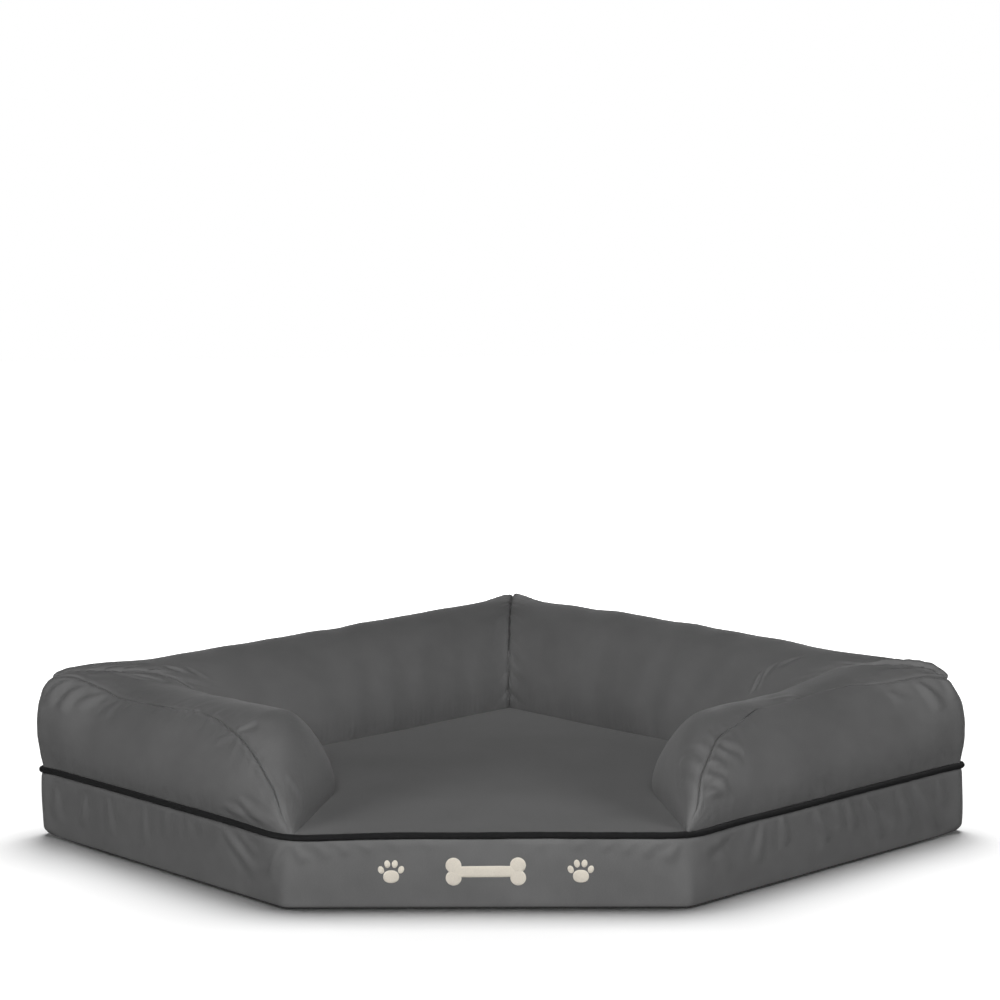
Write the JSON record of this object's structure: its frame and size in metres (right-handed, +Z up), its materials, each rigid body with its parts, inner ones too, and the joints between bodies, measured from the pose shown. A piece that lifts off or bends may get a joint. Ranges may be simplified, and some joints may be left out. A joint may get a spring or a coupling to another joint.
{
  "type": "corner dog bed",
  "caption": "Corner dog bed: foam mattress with a cut front corner, stuffed bolsters round the other sides, zipped cloth cover with piping.",
  "frame": {"origin": "centre of the footprint at floor level", "axes": "+X to the right seen from the open front, the front faces -Y and the square corner faces +Y, +Z up"},
  "size_m": [1.0726, 0.8636, 0.209],
  "materials": {
    "cover_cloth": "matt close-woven oxford cloth",
    "base_cloth": "coated cloth with non-slip dots",
    "piping_tape": "tight twill over a cord",
    "support_foam": "open-cell foam",
    "memory_foam": "soft memory foam",
    "liner_cloth": "thin coated liner cloth",
    "fibre_fill": "polyester fibre",
    "zip_plastic": "nylon coil",
    "zip_tape": "woven zip tape",
    "zip_metal": "black lacquered zinc",
    "embroidery_thread": "satin stitch",
    "label_cloth": "woven label"
  },
  "bodies": {
    "root": {"support_foam": "support_foam", "memory_foam": "memory_foam", "foam_liner": "liner_cloth", "liner_flap": "liner_cloth", "cover_bottom_panel": "base_cloth", "cover_top_panel": "cover_cloth", "border_front": "cover_cloth", "border_back_lower": "cover_cloth", "border_back_upper": "cover_cloth", "piping": "piping_tape", "rim_outer_panel_left": "cover_cloth", "rim_outer_panel_right": "cover_cloth", "rim_inner_panel_front_left": "cover_cloth", "bolster_bag_front_left": "liner_cloth", "bolster_fill_front_left": "fibre_fill", "rim_inner_panel_back_left": "cover_cloth", "bolster_bag_back_left": "liner_cloth", "bolster_fill_back_left": "fibre_fill", "rim_inner_panel_back_right": "cover_cloth", "bolster_bag_back_right": "liner_cloth", "bolster_fill_back_right": "fibre_fill", "rim_inner_panel_front_right": "cover_cloth", "bolster_bag_front_right": "liner_cloth", "bolster_fill_front_right": "fibre_fill", "zip_tape_upper": "zip_tape", "zip_tape_lower": "zip_tape", "zip_coil_upper": "zip_plastic", "zip_coil_lower": "zip_plastic", "zip_stop_left": "zip_metal", "zip_stop_right": "zip_metal", "embroidered_bone": "embroidery_thread", "embroidered_paw_left": "embroidery_thread", "embroidered_paw_right": "embroidery_thread", "care_label": "label_cloth"},
    "slider": {"zip_slider": "zip_metal"},
    "puller": {"zip_puller": "zip_metal"}
  },
  "joints": [
    {"name": "zip_slide", "type": "slide", "parent": "root", "child": "slider", "axis": [0.7071, 0.7071, 0], "range_m": [0, 0.665]},
    {"name": "puller_swing", "type": "hinge", "parent": "slider", "child": "puller", "pos_m": [-0.50028, -0.06097, 0.04], "axis": [0, 0, -1], "range_deg": [0, 180]}
  ]
}
